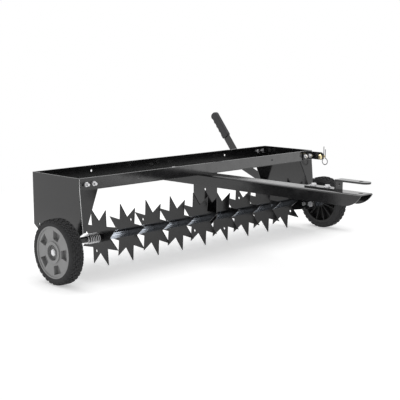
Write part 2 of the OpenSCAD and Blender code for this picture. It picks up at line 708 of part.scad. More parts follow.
// Wheel parts, outward along X from the wheel's inner face
wheel_in_x = half_w + wheel_gap;
wheel_out = wheel_in_x + tyre_w;
face_x = wheel_out - 4;
boss_in = wheel_in_x + 2;
boss_out = wheel_out - 12;
web_x = wheel_out - 20;
web_t = 4;
module wheel_spindles() color([0.7, 0.7, 0.72]) mirrored_pair() {
    translate([crank_in, wheel_c[0], wheel_c[1]]) rotate([0, -90, 0])
        cylinder(r = 1.6 * spindle_r, h = 7, $fn = 6);
    x_rod(wheel_c, spindle_r, crank_in - 1, wheel_out - 2);
}

module wheel_sleeves() color([0.6, 0.65, 0.72]) mirrored_pair() difference() {
    x_rod(wheel_c, spindle_r + 3.5, crank_out, boss_in - side_gap);
    x_rod(wheel_c, spindle_r + run_fit, crank_out - 1, boss_in + 1);
}

module wheel_nuts() color([0.75, 0.75, 0.78]) mirrored_pair() difference() {
    translate([boss_out + side_gap, wheel_c[0], wheel_c[1]]) rotate([0, 90, 0])
        cylinder(r = 1.6 * spindle_r, h = 8, $fn = 6);
    x_rod(wheel_c, spindle_r + run_fit, boss_out, wheel_out);
}

module hub() {
    window_out = rim_r - 11;
    window_in = nut_recess_r + 15.5;
    window_half = 15.5;
    rib_count = 12;
    spoke_count = 5;
    difference() {
        union() {
            difference() {
                x_rod(wheel_c, rim_r, wheel_in_x + 1.5, wheel_out - 2);
                x_rod(wheel_c, rim_r - 8, wheel_in_x, web_x + 1);
                x_rod(wheel_c, rim_r - 5, face_x, wheel_out);
            }
            x_rod(wheel_c, spindle_r + 9, boss_in, boss_out);
            x_rod(wheel_c, nut_recess_r + 8, web_x + 1, wheel_out - 1);
            for (i = [0:rib_count - 1]) wheel_turn(360 * (i + 0.5) / rib_count)
                translate([wheel_in_x + 5, spindle_r + 6, -1.5])
                    cube([web_x - wheel_in_x - 4, rim_r - spindle_r - 12, 3]);
        }
        for (i = [0:spoke_count - 1]) wheel_turn(360 * (i + 0.5) / spoke_count)
            side_plate(web_x + web_t, tyre_w) polygon([
                window_in * unit(window_half), window_out * unit(window_half),
                window_out * unit(-window_half), window_in * unit(-window_half)]);
        x_rod(wheel_c, nut_recess_r, boss_out, wheel_out);
        x_rod(wheel_c, spindle_r + run_fit, boss_in - 1, wheel_out);
    }
}

// Sets its children round the spindle
module wheel_turn(a) translate([0, wheel_c[0], wheel_c[1]]) rotate([a, 0, 0]) children();

module tyre() color([0.13, 0.13, 0.13]) translate([wheel_in_x, wheel_c[0], wheel_c[1]])
    rotate([0, 90, 0]) rotate_extrude($fn = 2 * fine) polygon([[rim_r, 1.5], [rim_r + 8, 0],
        [tyre_r - 8, 1.5], [tyre_r - 1.5, 7], [tyre_r, 12], [tyre_r, tyre_w - 12],
        [tyre_r - 1.5, tyre_w - 7], [tyre_r - 8, tyre_w - 1.5], [rim_r + 8, tyre_w], [rim_r, tyre_w - 2]]);

module star(n) color([0.08, 0.08, 0.08]) difference() {
    side_plate(star_x(n) - star_t / 2, star_t) translate(shaft_c) polygon([
        for (k = [0:points_per_star - 1]) each [star_r * unit(tip_angle(n, k)),
            star_notch_r * unit(tip_angle(n, k + 0.5))]]);
    x_rod(shaft_c, shaft_r + run_fit, star_x(n) - star_t, star_x(n) + star_t);
    x_rod(shaft_c + star_hole_at * unit(tip_angle(n, hole_tips[n - 1])), star_hole_r,
        star_x(n) - star_t, star_x(n) + star_t, round_fn);
}

placed() tray_floor();
placed() tray_wall(0, tray_t - 1);  // tray_front_wall
placed() tray_wall(rear_in_y, rear_in_y - tray_t);  // tray_rear_wall
placed() mirror([1, 0, 0]) end_plate();  // left_end_plate
placed() end_plate();  // right_end_plate
placed() tongue();
placed() hitch_strap();
placed() hitch_bolts();
placed() hitch_washers();
placed() hitch_nuts();
placed() tongue_bolts();
placed() tongue_nuts();
placed() shaft_hanger();
placed() hanger_bolts();
placed() hanger_nuts();
placed() corner_bolts();
placed() corner_nuts();
placed() shaft_bushes();
placed() stop_bolts();
placed() stop_nuts();
placed() latch_bracket();
placed() latch_pin();
placed() latch_clip();
placed() star_shaft();
placed() mirror([1, 0, 0]) crank();  // left_crank
placed() crank();  // right_crank
placed() crank_bolts();
placed() crank_nuts();
for (n = [1:9]) placed() spacer(n);
placed()  // end_spacer
    tube(star_x(star_count) + star_t / 2, half_w + bush_flange_t - bush_len);
placed() stack_spring();
placed() spring_washer();
placed() spring_cotter();
placed() lever_bar();
placed() lever_grip();
placed() wheel_spindles();
placed() wheel_sleeves();
placed() wheel_nuts();
placed() mirror([1, 0, 0]) color([0.6, 0.6, 0.6]) hub();  // left_hub
placed() color([0.1, 0.1, 0.1]) hub();  // right_hub
placed() mirror([1, 0, 0]) tyre();  // left_tyre
placed() tyre();  // right_tyre
for (n = [1:star_count]) placed() star(n);
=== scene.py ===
"""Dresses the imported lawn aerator: rounded sheet metal, knobbly tyres, moulded hubs and grip, and a studio."""

import json
import math

import bpy
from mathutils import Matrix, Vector

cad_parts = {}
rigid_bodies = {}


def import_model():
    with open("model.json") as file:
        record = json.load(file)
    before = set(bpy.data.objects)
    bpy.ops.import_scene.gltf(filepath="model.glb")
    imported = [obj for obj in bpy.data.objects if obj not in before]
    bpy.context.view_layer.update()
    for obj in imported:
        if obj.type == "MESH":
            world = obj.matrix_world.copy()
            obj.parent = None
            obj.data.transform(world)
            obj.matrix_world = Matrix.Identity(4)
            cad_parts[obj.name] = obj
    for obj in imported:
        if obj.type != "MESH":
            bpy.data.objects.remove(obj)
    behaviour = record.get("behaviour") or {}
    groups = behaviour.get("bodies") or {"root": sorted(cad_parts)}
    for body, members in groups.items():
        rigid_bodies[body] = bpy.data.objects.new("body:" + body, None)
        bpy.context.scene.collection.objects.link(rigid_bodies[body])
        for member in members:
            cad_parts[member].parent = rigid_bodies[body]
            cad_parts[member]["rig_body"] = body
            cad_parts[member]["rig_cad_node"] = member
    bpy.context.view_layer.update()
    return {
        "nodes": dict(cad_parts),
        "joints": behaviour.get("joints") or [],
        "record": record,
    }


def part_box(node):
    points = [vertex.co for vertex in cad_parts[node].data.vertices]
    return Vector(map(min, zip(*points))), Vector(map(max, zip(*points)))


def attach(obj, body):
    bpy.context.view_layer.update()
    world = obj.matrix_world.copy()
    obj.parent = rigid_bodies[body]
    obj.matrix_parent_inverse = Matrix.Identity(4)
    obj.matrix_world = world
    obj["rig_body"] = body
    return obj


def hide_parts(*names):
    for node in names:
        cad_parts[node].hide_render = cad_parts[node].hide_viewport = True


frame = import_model()

bl_info = {
    "name": "Lawn aerator dresser",
    "version": (1, 0, 0),
    "blender": (4, 5, 0),
    "location": "View3D > Sidebar > Aerator",
    "description": "Finishes the pieces of a towed spike aerator and sets up its studio",
    "category": "Object",
}

MM = 0.001
BODY_OF = {node: body for body, nodes in frame["record"]["behaviour"]["bodies"].items() for node in nodes}
SLOT_OF = {row["node"]: row["material_slot"] for row in frame["record"]["subparts"]}
STARS = [f"star_{n}" for n in range(1, 10)]
SPACERS = [f"spacer_{n}" for n in range(1, 10)] + ["end_spacer"]


def joint_place(name):
    """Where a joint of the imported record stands, in metres."""
    return Vector(next(j["pos_m"] for j in frame["joints"] if j["name"] == name))


SHAFT = joint_place("wheel_height_lever")
SPINDLE = {"left": joint_place("left_wheel_spin"), "right": joint_place("right_wheel_spin")}
# How far the spare hole in each end plate stands in from the plate's rear
SPARE_HOLE_IN = 27 * MM
# The focal length is counted in pixels of a frame this wide
FRAME_PX = 400
SENSOR_MM = 36

# Tyres: rows of lugs across the tread, mesh steps round it, and each shoulder's share of the width
LUG_ROWS = 6
TYRE_STEPS = 99
SHOULDER_SHARE = 0.11
# Height of the tyre's section from its bead to the top of the lugs
TYRE_SECTION = 20 * MM
# The chamfer at the bead, and how far the side walls bulge out past it
BEAD = 3 * MM
WALL_BULGE = 0.2 * MM
# How far the shoulders and the tread's two edges lie below the tread's crown
SHOULDER_DROP = 6 * MM
TREAD_EDGE_DROP = 1.2 * MM
SHOULDER_LUG_HEIGHT = 1.4 * MM


class CameraSettings(bpy.types.PropertyGroup):
    focal_px: bpy.props.FloatProperty(
        name="Focal length", description="Focal length in pixels of the frame", default=931.69)
    place: bpy.props.FloatVectorProperty(
        name="Place", description="Where the camera stands from the star shaft",
        default=(-2.0482, -2.0934, 0.5454), subtype="TRANSLATION", unit="LENGTH")
    yaw: bpy.props.FloatProperty(
        name="Yaw", description="Turn to the right of the machine's long way", default=math.radians(45.22),
        subtype="ANGLE", unit="ROTATION")
    pitch: bpy.props.FloatProperty(
        name="Pitch", description="How far the camera looks down", default=math.radians(9.247),
        subtype="ANGLE", unit="ROTATION")


class StudioSettings(bpy.types.PropertyGroup):
    fill: bpy.props.FloatProperty(
        name="Fill", description="Strength of the even light on matt surfaces", default=0.62, min=0)
    key: bpy.props.FloatProperty(
        name="Key", description="Power of the large lamp above the machine", default=34.0, unit="POWER", min=0)
    bend_lamp: bpy.props.FloatProperty(
        name="Bend lamp", description="Power of the lamp mirrored in upright bends", default=90.0,
        unit="POWER", min=0)
    rail_lamp: bpy.props.FloatProperty(
        name="Rail lamp", description="Power of the lamp mirrored in the front wall's right half and the tubes",
        default=8.5, unit="POWER", min=0)
    rim_lamp: bpy.props.FloatProperty(
        name="Rim lamp", description="Power of the lamp mirrored in the tray's rims", default=150.0,
        unit="POWER", min=0)
    floor_colour: bpy.props.FloatVectorProperty(
        name="Floor", description="Colour of the studio floor", default=(0.80, 0.80, 0.80), subtype="COLOR")
    floor_glow: bpy.props.FloatProperty(
        name="Floor glow", description="Light that the floor gives off by itself", default=0.425, min=0)


class ShapeSettings(bpy.types.PropertyGroup):
    sheet_edge: bpy.props.FloatProperty(
        name="Sheet edge", description="Radius on the edges of painted sheet", default=0.9 * MM,
        subtype="DISTANCE", unit="LENGTH")
    bend: bpy.props.FloatProperty(
        name="Sheet bend", description="Outer radius of the end plates' upright bends", default=2.6 * MM,
        subtype="DISTANCE", unit="LENGTH")
    bolt_edge: bpy.props.FloatProperty(
        name="Bolt edge", description="Radius on the edges of bolts and nuts", default=0.45 * MM,
        subtype="DISTANCE", unit="LENGTH")
    star_edge: bpy.props.FloatProperty(
        name="Star edge", description="Radius on the edges of the stars", default=0.35 * MM,
        subtype="DISTANCE", unit="LENGTH")
    hub_edge: bpy.props.FloatProperty(
        name="Hub edge", description="Radius on the edges of the moulded hubs", default=0.9 * MM,
        subtype="DISTANCE", unit="LENGTH")
    grip_grain: bpy.props.FloatProperty(
        name="Grip step", description="Mesh step of the moulded grip", default=1.1 * MM,
        subtype="DISTANCE", unit="LENGTH")
    lug_height: bpy.props.FloatProperty(
        name="Lug height", description="Height of the tread's lugs", default=3.2 * MM,
        subtype="DISTANCE", unit="LENGTH")
    lug_gap: bpy.props.FloatProperty(
        name="Lug gap", description="Half the groove between two lugs", default=0.7 * MM,
        subtype="DISTANCE", unit="LENGTH")


class FinishSettings(bpy.types.PropertyGroup):
    coat: bpy.props.FloatVectorProperty(
        name="Powder coat", description="Colour of the black coat", default=(0.007, 0.007, 0.0075),
        subtype="COLOR")
    tube: bpy.props.FloatVectorProperty(
        name="Tube zinc", description="Colour of the bluish zinc on the tubes", default=(0.73, 0.79, 0.88),
        subtype="COLOR")
    bright: bpy.props.FloatVectorProperty(
        name="Bolt zinc", description="Colour of the bright zinc on the bolts", default=(0.72, 0.72, 0.73),
        subtype="COLOR")
    wire: bpy.props.FloatVectorProperty(
        name="Spring steel", description="Colour of the clip's drawn wire", default=(0.24, 0.24, 0.25),
        subtype="COLOR")
    yellow: bpy.props.FloatVectorProperty(
        name="Pin zinc", description="Colour of the yellow zinc on the pin", default=(0.84, 0.72, 0.44),
        subtype="COLOR")
    hub: bpy.props.FloatVectorProperty(
        name="Grey hub", description="Colour of the grey hub", default=(0.25, 0.25, 0.25), subtype="COLOR")
    black_hub: bpy.props.FloatVectorProperty(
        name="Black hub", description="Colour of the black hub", default=(0.018, 0.018, 0.018), subtype="COLOR")
    grip: bpy.props.FloatVectorProperty(
        name="Grip", description="Colour of the lever's grip", default=(0.022, 0.022, 0.024), subtype="COLOR")
    bush: bpy.props.FloatVectorProperty(
        name="Bush", description="Colour of the shaft's bushes", default=(0.03, 0.03, 0.03), subtype="COLOR")
    rubber: bpy.props.FloatVectorProperty(
        name="Rubber", description="Colour of the tyres", default=(0.043, 0.043, 0.044), subtype="COLOR")


class AeratorSettings(bpy.types.PropertyGroup):
    camera: bpy.props.PointerProperty(type=CameraSettings)
    studio: bpy.props.PointerProperty(type=StudioSettings)
    shape: bpy.props.PointerProperty(type=ShapeSettings)
    finish: bpy.props.PointerProperty(type=FinishSettings)


def settings():
    """The values that the panel shows."""
    return bpy.context.scene.aerator


# Node groups shared by the finishes

def new_group(name, inputs, output):
    """An empty shader group with float inputs, given as name and default, and one float output."""
    group = bpy.data.node_groups.new(name, "ShaderNodeTree")
    for label, value in inputs:
        socket = group.interface.new_socket(label, in_out="INPUT", socket_type="NodeSocketFloat")
        socket.default_value = value
    group.interface.new_socket(output, in_out="OUTPUT", socket_type="NodeSocketFloat")
    group.nodes.new("NodeGroupInput")
    group.nodes.new("NodeGroupOutput")
    return group


def node_of(tree, kind, **values):
    """A new node whose named attributes are set."""
    node = tree.nodes.new(kind)
    for key, value in values.items():
        setattr(node, key, value)
    return node


def noise_at(tree, scale, detail=3.0):
    """A noise on Object coordinates, with its scale from a socket."""
    coord = node_of(tree, "ShaderNodeTexCoord")
    noise = node_of(tree, "ShaderNodeTexNoise")
    noise.inputs["Detail"].default_value = detail
    noise.inputs["Roughness"].default_value = 0.55
    tree.links.new(coord.outputs["Object"], noise.inputs["Vector"])
    tree.links.new(scale, noise.inputs["Scale"])
    return noise.outputs["Fac"]


def spread(tree, value, low, high):
    """Maps a 0 to 1 socket between two numbers."""
    mapped = node_of(tree, "ShaderNodeMapRange")
    mapped.inputs["To Min"].default_value = low
    mapped.inputs["To Max"].default_value = high
    tree.links.new(value, mapped.inputs["Value"])
    return mapped.outputs["Result"]


def speckle_group():
    """A noise between Low and High, for roughness and colour that vary over a surface."""
    group = new_group("Varied value", [("Scale", 60.0), ("Low", 0.2), ("High", 0.4)], "Value")
    source, sink = group.nodes["Group Input"], group.nodes["Group Output"]
    noise = noise_at(group, source.outputs["Scale"])
    # Nearly all of the noise lies in this band
    sharp = node_of(group, "ShaderNodeMapRange")
    sharp.inputs["From Min"].default_value = 0.3
    sharp.inputs["From Max"].default_value = 0.7
    group.links.new(noise, sharp.inputs["Value"])
    group.links.new(source.outputs["Low"], sharp.inputs["To Min"])
    group.links.new(source.outputs["High"], sharp.inputs["To Max"])
    group.links.new(sharp.outputs["Result"], sink.inputs["Value"])
    return group


def peel_group():
    """The soft ripple of a cured coat."""
    group = new_group("Coat ripple", [("Scale", 400.0)], "Height")
    source, sink = group.nodes["Group Input"], group.nodes["Group Output"]
    group.links.new(noise_at(group, source.outputs["Scale"], detail=1.5), sink.inputs["Height"])
    return group


def grain_group():
    """The pebbled grain of a moulded surface."""
    group = new_group("Moulded grain", [("Scale", 900.0)], "Height")
    source, sink = group.nodes["Group Input"], group.nodes["Group Output"]
    coord = node_of(group, "ShaderNodeTexCoord")
    cells = node_of(group, "ShaderNodeTexVoronoi", feature="SMOOTH_F1")
    group.links.new(coord.outputs["Object"], cells.inputs["Vector"])
    group.links.new(source.outputs["Scale"], cells.inputs["Scale"])
    group.links.new(cells.outputs["Distance"], sink.inputs["Height"])
    return group


GROUP_MAKERS = {"varied": speckle_group, "peel": peel_group, "grain": grain_group}
groups = {}
finishes = {}


def placed_group(tree, kind, **values):
    """One of the shared groups in a material, with its own values."""
    if kind not in groups:
        groups[kind] = GROUP_MAKERS[kind]()
    node = node_of(tree, "ShaderNodeGroup", node_tree=groups[kind])
    for key, value in values.items():
        node.inputs[key].default_value = value
    return node.outputs[0]


def varied_material(name, colour, tint, rough, metallic=0.0, specular=0.5):
    """A material whose colour and roughness vary over it, by tint and rough as (scale, low, high)."""
    material = bpy.data.materials.new(name)
    material.use_nodes = True
    tree = material.node_tree
    shader = tree.nodes["Principled BSDF"]
    shader.inputs["Metallic"].default_value = metallic
    shader.inputs["Specular IOR Level"].default_value = specular
    scale, low, high = tint
    mix = node_of(tree, "ShaderNodeMix", data_type="RGBA")
    mix.inputs["A"].default_value = [min(1, part * low) for part in colour] + [1]
    mix.inputs["B"].default_value = [min(1, part * high) for part in colour] + [1]
    tree.links.new(placed_group(tree, "varied", Scale=scale, Low=0.0, High=1.0), mix.inputs["Factor"])
    tree.links.new(mix.outputs["Result"], shader.inputs["Base Color"])
    scale, low, high = rough
    tree.links.new(placed_group(tree, "varied", Scale=scale, Low=low, High=high), shader.inputs["Roughness"])
    return material


def bumped(material, kind, scale, strength, distance):
    """Adds one of the shared height groups as bump."""
    tree = material.node_tree
    bump = node_of(tree, "ShaderNodeBump")
    bump.inputs["Strength"].default_value = strength
    bump.inputs["Distance"].default_value = distance
    tree.links.new(placed_group(tree, kind, Scale=scale), bump.inputs["Height"])
    tree.links.new(bump.outputs["Normal"], tree.nodes["Principled BSDF"].inputs["Normal"])
    return material


def make_coat(name, rough_low, rough_high, specular):
    """Glossy powder coat with a cured coat's ripple."""
    material = varied_material(name, settings().finish.coat, tint=(9.0, 0.8, 1.3),
                               rough=(45.0, rough_low, rough_high), specular=specular)
    return bumped(material, "peel", 420.0, strength=0.10, distance=0.15 * MM)


def make_zinc(name, colour, rough_low, rough_high):
    """Plated or drawn metal."""
    return varied_material(name, colour, tint=(14.0, 0.97, 1.02), rough=(25.0, rough_low, rough_high),
                           metallic=1.0)


def make_moulded(name, colour, rough_low, rough_high, grain, depth, specular=0.5):
    """Plastic or rubber with the pebbled grain of its mould."""
    material = varied_material(name, colour, tint=(30.0, 0.93, 1.07), rough=(120.0, rough_low, rough_high),
                               specular=specular)
    return bumped(material, "grain", grain, strength=0.25, distance=depth)


def build_finishes():
    """Every finish under the record's slot name."""
    colours = settings().finish
    finishes["black_powder_coat"] = make_coat("Black powder coat", 0.10, 0.17, specular=0.66)
    finishes["black_star_steel"] = make_coat("Black star coat", 0.12, 0.20, specular=0.42)
    finishes["zinc_tube"] = make_zinc("Bluish zinc tube", colours.tube, 0.22, 0.26)
    finishes["bright_zinc"] = make_zinc("Bright zinc", colours.bright, 0.32, 0.44)
    finishes["spring_steel"] = make_zinc("Spring steel", colours.wire, 0.26, 0.32)
    finishes["yellow_zinc"] = make_zinc("Yellow zinc", colours.yellow, 0.24, 0.36)
    finishes["bush_plastic"] = make_moulded("Bush nylon", colours.bush, 0.40, 0.50, 700.0, 0.05 * MM)
    finishes["grip_plastic"] = make_moulded(
        "Grip plastic", colours.grip, 0.34, 0.44, 1100.0, 0.03 * MM, specular=0.4)
    finishes["grey_hub_plastic"] = make_moulded(
        "Grey hub plastic", colours.hub, 0.40, 0.52, 900.0, 0.05 * MM)
    finishes["black_hub_plastic"] = make_moulded(
        "Black hub plastic", colours.black_hub, 0.30, 0.42, 900.0, 0.05 * MM)
    finishes["tyre_rubber"] = make_moulded(
        "Tyre rubber", colours.rubber, 0.65, 0.80, 650.0, 0.12 * MM, specular=0.12)


# Modelling helpers

def deselect():
    """Object mode with nothing selected."""
    if bpy.context.object and bpy.context.object.mode != "OBJECT":
        bpy.ops.object.mode_set(mode="OBJECT")
    bpy.ops.object.select_all(action="DESELECT")


def activate(piece):
    """Selects one piece alone."""
    deselect()
    piece.select_set(True)
    bpy.context.view_layer.objects.active = piece


def apply_modifier(piece, kind, **values):
    """Adds a modifier, sets it and applies it."""
    activate(piece)
    modifier = piece.modifiers.new(kind.title(), kind)
    for key, value in values.items():
        setattr(modifier, key, value)
    bpy.ops.object.modifier_apply(modifier=modifier.name)


def merged_copy(node, name, cuts=()):
    """A loose copy of a CAD node, with its triangles merged into flats that end at the cuts across y."""
    activate(frame["nodes"][node])
    bpy.ops.object.duplicate()
    piece = bpy.context.active_object
    bpy.ops.object.parent_clear(type="CLEAR_KEEP_TRANSFORM")
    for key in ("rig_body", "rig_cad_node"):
        del piece[key]
    piece.name = piece.data.name = name
    bpy.ops.object.mode_set(mode="EDIT")
    bpy.ops.mesh.select_all(action="SELECT")
    bpy.ops.mesh.remove_doubles(threshold=0.002 * MM)
    for place in cuts:
        bpy.ops.mesh.select_all(action="SELECT")
        bpy.ops.mesh.bisect(plane_co=(0, place, 0), plane_no=(0, 1, 0))
        bpy.ops.mesh.mark_seam()
    bpy.ops.mesh.select_all(action="SELECT")
    bpy.ops.mesh.dissolve_limited(angle_limit=math.radians(0.6), delimit={"SEAM"})
    bpy.ops.object.mode_set(mode="OBJECT")
    return piece


def dress(piece, node):
    """The piece stands for the node, rides on its body and takes its finish."""
    piece.data.materials.clear()
    piece.data.materials.append(finishes[SLOT_OF[node]])
    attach(piece, BODY_OF[node])
    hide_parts(node)
    return piece


def smooth(piece, angle=32):
    """Smooth shading that keeps sharp edges sharp and flats flat."""
    activate(piece)
    bpy.ops.object.shade_smooth_by_angle(angle=math.radians(angle))
    apply_modifier(piece, "WEIGHTED_NORMAL", mode="FACE_AREA_WITH_ANGLE", keep_sharp=True)


def soften(piece, width, chosen):
    """A wide radius on the edges that chosen picks by their two ends."""
    activate(piece)
    bpy.context.tool_settings.mesh_select_mode = (False, True, False)
    bpy.ops.object.mode_set(mode="EDIT")
    bpy.ops.mesh.select_all(action="DESELECT")
    bpy.ops.object.mode_set(mode="OBJECT")
    for edge in piece.data.edges:
        edge.select = chosen(*(piece.data.vertices[i].co for i in edge.vertices))
    bpy.ops.object.mode_set(mode="EDIT")
    bpy.ops.mesh.bevel(offset=width, segments=4, affect="EDGES")
    bpy.ops.object.mode_set(mode="OBJECT")


def rounded(node, width, wide=0, chosen=None, cuts=()):
    """A CAD node's own shape with a radius on its sharp edges and a wider one on the chosen edges."""
    piece = merged_copy(node, node + "_rounded", cuts)
    if chosen:
        soften(piece, wide, chosen)
    apply_modifier(piece, "BEVEL", width=width, segments=2, limit_method="ANGLE",
                   angle_limit=math.radians(40), use_clamp_overlap=True, miter_outer="MITER_ARC")
    smooth(piece)
    return dress(piece, node)


def paint_node(node):
    """A CAD node whose shape is right takes the finish of its slot."""
    data = frame["nodes"][node].data
    data.materials.clear()
    data.materials.append(finishes[SLOT_OF[node]])


def spun_ring(name, profile, centre, steps):
    """A closed outline of (x, radius) places spun round a line along X through centre."""
    deselect()
    bpy.ops.mesh.primitive_circle_add(vertices=len(profile), radius=0.01)
    piece = bpy.context.active_object
    piece.name = piece.data.name = name
    for vertex, (x, radius) in zip(piece.data.vertices, profile):
        vertex.co = (x, centre.y, centre.z + radius)
    bpy.ops.object.mode_set(mode="EDIT")
    bpy.ops.mesh.select_all(action="SELECT")
    bpy.ops.mesh.spin(steps=steps, angle=2 * math.pi, center=centre, axis=(1, 0, 0))
    bpy.ops.mesh.select_all(action="SELECT")
    bpy.ops.mesh.remove_doubles(threshold=0.01 * MM)
    bpy.ops.mesh.normals_make_consistent(inside=False)
    bpy.ops.object.mode_set(mode="OBJECT")
    return piece


# Tyres

def tyre_outline(inner, outer, left, right, lug):
    """The tyre's section from bead to tread and back, with one face per row of lugs."""
    base = outer - lug
    # Places up a side wall, as (depth in from the wall's plane, radius)
    wall = ((BEAD, inner), (0, inner + BEAD), (-WALL_BULGE, inner + 8 * MM), (0.8 * MM, base - SHOULDER_DROP))
    shoulder = (right - left) * SHOULDER_SHARE
    tread_left = left + shoulder
    tread_width = right - shoulder - tread_left
    tread = [(tread_left + tread_width * row / LUG_ROWS,
              base - (TREAD_EDGE_DROP if row in (0, LUG_ROWS) else 0)) for row in range(LUG_ROWS + 1)]
    return ([(left + depth, radius) for depth, radius in wall] + tread
            + [(right - depth, radius) for depth, radius in reversed(wall)])


def raise_lugs(piece, chosen, gap, height):
    """Insets the faces that chosen picks, each by itself, and pushes them out."""
    for polygon in piece.data.polygons:
        polygon.select = chosen(polygon)
    bpy.context.tool_settings.mesh_select_mode = (False, False, True)
    activate(piece)
    bpy.ops.object.mode_set(mode="EDIT")
    bpy.ops.mesh.inset(thickness=gap, use_individual=True)
    bpy.ops.mesh.extrude_region_shrink_fatten(
        TRANSFORM_OT_shrink_fatten={"value": height, "use_even_offset": True})
    bpy.ops.object.mode_set(mode="OBJECT")


def build_tyre(side):
    """A knobbly tyre: staggered lugs on the tread and a row on each shoulder."""
    node = side + "_tyre"
    shape = settings().shape
    low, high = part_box(node)
    centre = SPINDLE[side]
    outer = high.z - centre.z
    base = outer - shape.lug_height
    outline = tyre_outline(outer - TYRE_SECTION, outer, low.x + WALL_BULGE, high.x - WALL_BULGE,
                           shape.lug_height)
    piece = spun_ring(node + "_tread", outline, centre, TYRE_STEPS)
    tread_low = base - 1.5 * MM
    tread_half = (high.x - low.x) / 2 * (1 - 2 * SHOULDER_SHARE)
    middle = (high.x + low.x) / 2

    def places(polygon):
        """A face's radius, its step round the tyre and its row across the tread."""
        spot = polygon.center - centre
        radius = math.hypot(spot.y, spot.z)
        step = math.atan2(spot.z, spot.y) / (2 * math.pi) * TYRE_STEPS
        row = (polygon.center.x - middle) / tread_half * LUG_ROWS / 2 + LUG_ROWS / 2
        return radius, math.floor(step + TYRE_STEPS), math.floor(row)

    def tread_lug(polygon):
        radius, step, row = places(polygon)
        from_middle = abs(2 * row - LUG_ROWS + 1)
        return radius > tread_low and 0 <= row < LUG_ROWS and (step + from_middle) % 3 != 0

    def shoulder_lug(polygon):
        radius, step, row = places(polygon)
        on_shoulder = base - SHOULDER_DROP < radius <= tread_low
        return on_shoulder and abs(polygon.normal.x) < 0.98 and step % 3 != 0

    raise_lugs(piece, tread_lug, shape.lug_gap, shape.lug_height)
    raise_lugs(piece, shoulder_lug, shape.lug_gap, SHOULDER_LUG_HEIGHT)
    smooth(piece, angle=24)
    return dress(piece, node)


# Other modelled pieces

def build_grip():
    """The grip's CAD form with every edge flowing into the next."""
    piece = merged_copy("lever_grip", "lever_grip_moulded")
    apply_modifier(piece, "REMESH", mode="VOXEL", voxel_size=settings().shape.grip_grain)
    apply_modifier(piece, "SMOOTH", factor=0.5, iterations=14)
    smooth(piece, angle=60)
    return dress(piece, "lever_grip")


def build_spring():
    """The coil spring as a round wire wound at its real size, its ends straight along the shaft."""
    low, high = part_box("stack_spring")
    wire = 1.3 * MM
    turns = 6
    steps = 32
    run = 2 * wire
    bend = 1.8 * wire
    bend_angles = (0.5, 1.0)
    mean = (high.z - low.z) / 2 - wire
    length = high.x - low.x
    rise = length - 2 * (run + bend)
    swing = bend / mean

    def spot(along, angle):
        return (low.x + along, SHAFT.y + mean * math.cos(angle), SHAFT.z + mean * math.sin(angle))

    path = [spot(0, -swing), spot(run, -swing)]
    path += [spot(run + bend * math.sin(a), -swing * math.cos(a)) for a in bend_angles]
    path += [spot(run + bend + rise * i / (steps * turns), 2 * math.pi * i / steps)
             for i in range(steps * turns + 1)]
    last = 2 * math.pi * turns
    path += [spot(length - run - bend * math.sin(a), last + swing * math.cos(a))
             for a in reversed(bend_angles)]
    path += [spot(length - run, last + swing), spot(length, last + swing)]
    return wire_piece("stack_spring_wire", path, wire, "stack_spring")


def build_clip():
    """The pin's clip as one bent wire: a leg through the pin, a ring and a shorter leg beside it."""
    low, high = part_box("latch_clip")
    wire = 1.5 * MM
    steps = 40
    ring = (high.y - low.y) / 2 - wire
    middle = Vector(((low.x + high.x) / 2, (low.y + high.y) / 2, low.z + wire + ring))
    # Each leg's distance from the ring's middle, and its top
    pin_leg, pin_leg_top = 5.0 * MM, high.z
    side_leg, side_leg_top = -1.55 * MM, high.z - 9 * MM
    start, end = math.acos(pin_leg / ring), math.acos(side_leg / ring)
    sweep = [start + (end - 2 * math.pi - start) * i / steps for i in range(steps + 1)]
    path = [(middle.x, middle.y + pin_leg, pin_leg_top)]
    path += [(middle.x, middle.y + ring * math.cos(a), middle.z + ring * math.sin(a)) for a in sweep]
    path.append((middle.x, middle.y + side_leg, side_leg_top))
    return wire_piece("latch_clip_wire", path, wire, "latch_clip")


def wire_piece(name, path, radius, node):
    """A round wire along a path, made a closed mesh."""
    deselect()
    bpy.ops.curve.primitive_nurbs_path_add()
    wire = bpy.context.active_object
    curve = wire.data
    curve.splines.clear()
    spline = curve.splines.new("POLY")
    spline.points.add(len(path) - 1)
    for point, place in zip(spline.points, path):
        point.co = (*place, 1)
    curve.bevel_depth = radius
    curve.bevel_resolution = 3
    curve.use_fill_caps = True
    bpy.ops.object.convert(target="MESH")
    piece = bpy.context.active_object
    piece.name = piece.data.name = name
    bpy.ops.object.mode_set(mode="EDIT")
    bpy.ops.mesh.select_all(action="SELECT")
    bpy.ops.mesh.remove_doubles(threshold=0.005 * MM)
    bpy.ops.mesh.normals_make_consistent(inside=False)
    bpy.ops.object.mode_set(mode="OBJECT")
    smooth(piece, angle=50)
    return dress(piece, node)


# Studio

def build_camera():
    """The catalogue view's camera, placed from the star shaft."""
    view = settings().camera
    deselect()
    bpy.ops.object.camera_add(
        location=SHAFT + Vector(view.place), rotation=(math.pi / 2 - view.pitch, 0, -view.yaw))
    camera = bpy.context.active_object
    camera.name = "Camera"
    camera.data.sensor_width = SENSOR_MM
    camera.data.lens = view.focal_px * SENSOR_MM / FRAME_PX
    camera.data.clip_end = 100
    bpy.context.scene.camera = camera


